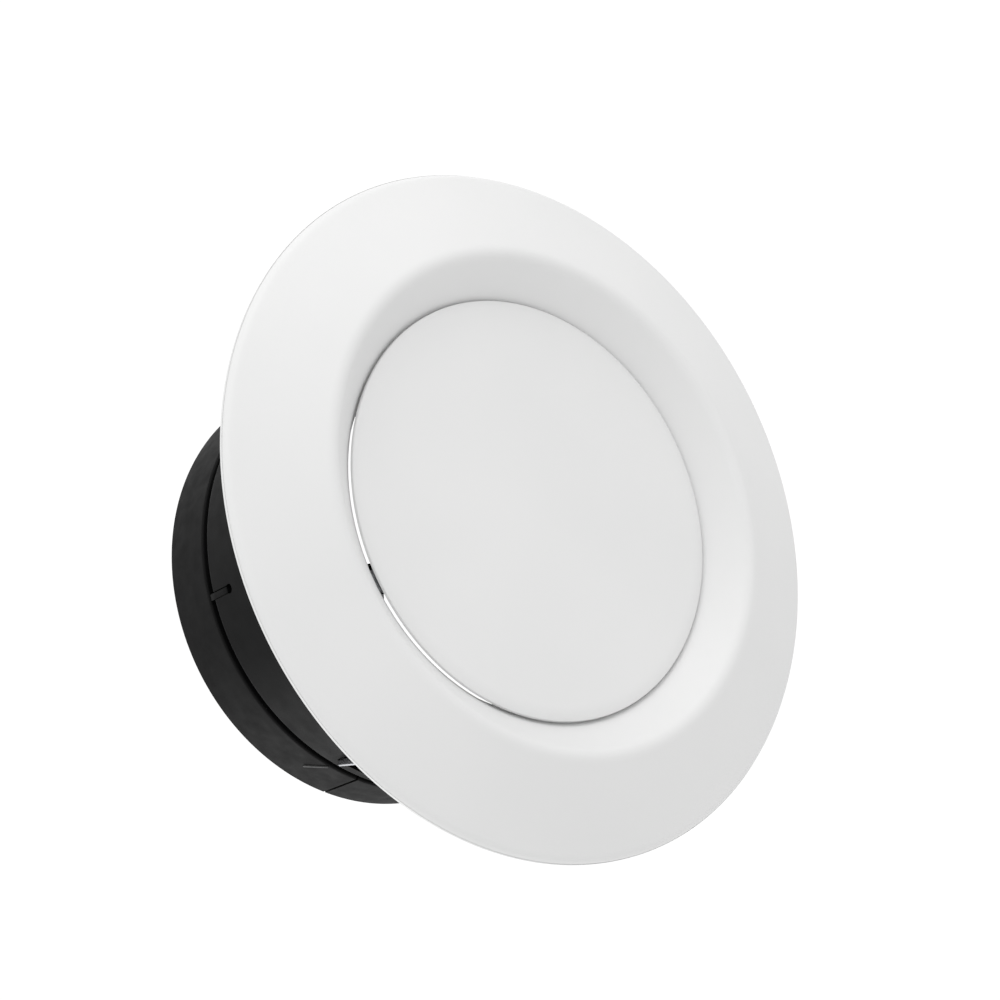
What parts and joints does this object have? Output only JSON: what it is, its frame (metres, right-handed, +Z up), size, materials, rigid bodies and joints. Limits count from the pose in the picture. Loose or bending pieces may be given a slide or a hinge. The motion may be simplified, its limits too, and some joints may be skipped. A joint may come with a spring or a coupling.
{
  "type": "ceiling air diffuser",
  "caption": "Round adjustable disc valve for a ceiling duct: raised flange, screw-set centre disc, bayonet collar with folding retaining fins.",
  "frame": {"origin": "on the axis, in the plane of the ceiling that the flange's back rests against", "axes": "+Z up along the duct axis, away from the room, so the face looks along -Z as it hangs in a ceiling; the bridge's arms lie along Y"},
  "size_m": [0.15, 0.15, 0.0788],
  "materials": {
    "white_plastic": "satin moulded ABS",
    "black_plastic": "satin moulded ABS",
    "black_rubber": "smooth elastomer",
    "grey_foam": "closed-cell foam",
    "zinc_steel": "bright zinc plate",
    "spring_steel": "cold-rolled spring steel"
  },
  "bodies": {
    "duct_unit": {"mounting_sleeve": "black_plastic", "sealing_band": "black_rubber", "bridge_bar": "black_plastic", "captive_nut": "zinc_steel", "hub_cover": "black_plastic", "hub_screw_1": "zinc_steel", "hub_screw_2": "zinc_steel"},
    "face_unit": {"face_ring": "white_plastic", "ceiling_gasket": "grey_foam"},
    "end_stop": {"end_washer": "zinc_steel"},
    "valve": {"valve_disc": "white_plastic", "disc_boss": "white_plastic", "boss_screw_1": "zinc_steel", "boss_screw_2": "zinc_steel", "boss_screw_3": "zinc_steel", "spindle": "zinc_steel", "jam_nut": "zinc_steel", "spindle_clip": "spring_steel", "end_nut": "zinc_steel"},
    "lock_seat": {"lock_washer": "zinc_steel"},
    "lock": {"lock_nut": "white_plastic"},
    "fin_1": {"retaining_fin_1": "spring_steel"},
    "fin_2": {"retaining_fin_2": "spring_steel"},
    "fin_3": {"retaining_fin_3": "spring_steel"}
  },
  "joints": [
    {"name": "face_twist", "type": "hinge", "parent": "duct_unit", "child": "face_unit", "pos_m": [0, 0, 0.03], "axis": [0, 0, 1], "range_deg": [0, 25]},
    {"name": "disc_travel", "type": "slide", "parent": "duct_unit", "child": "end_stop", "axis": [0, 0, 1], "range_m": [-0.02, 0.00075]},
    {"name": "disc_turn", "type": "hinge", "parent": "end_stop", "child": "valve", "pos_m": [0, 0, 0.03], "axis": [0, 0, 1], "range_deg": [-7201, 271]},
    {"name": "lock_travel", "type": "slide", "parent": "duct_unit", "child": "lock_seat", "axis": [0, 0, 1], "range_m": [-0.007, 0]},
    {"name": "lock_turn", "type": "hinge", "parent": "lock_seat", "child": "lock", "pos_m": [0, 0, 0.028], "axis": [0, 0, 1], "range_deg": [-2521, 1]},
    {"name": "fin_1_fold", "type": "hinge", "parent": "duct_unit", "child": "fin_1", "pos_m": [-0.03834, -0.02889, 0.03], "axis": [0, 0, 1], "range_deg": [-55, 0], "stiffness_Nm_per_rad": 0.02},
    {"name": "fin_2_fold", "type": "hinge", "parent": "duct_unit", "child": "fin_2", "pos_m": [0.0451, -0.01642, 0.03], "axis": [0, 0, 1], "range_deg": [-55, 0], "stiffness_Nm_per_rad": 0.02},
    {"name": "fin_3_fold", "type": "hinge", "parent": "duct_unit", "child": "fin_3", "pos_m": [-0.0108, 0.04677, 0.03], "axis": [0, 0, 1], "range_deg": [-55, 0], "stiffness_Nm_per_rad": 0.02}
  ],
  "couplings": [
    {"joint": "disc_turn", "follows": "disc_travel", "rad_per_m": 6283.2},
    {"joint": "lock_turn", "follows": "lock_travel", "rad_per_m": 6283.2}
  ]
}
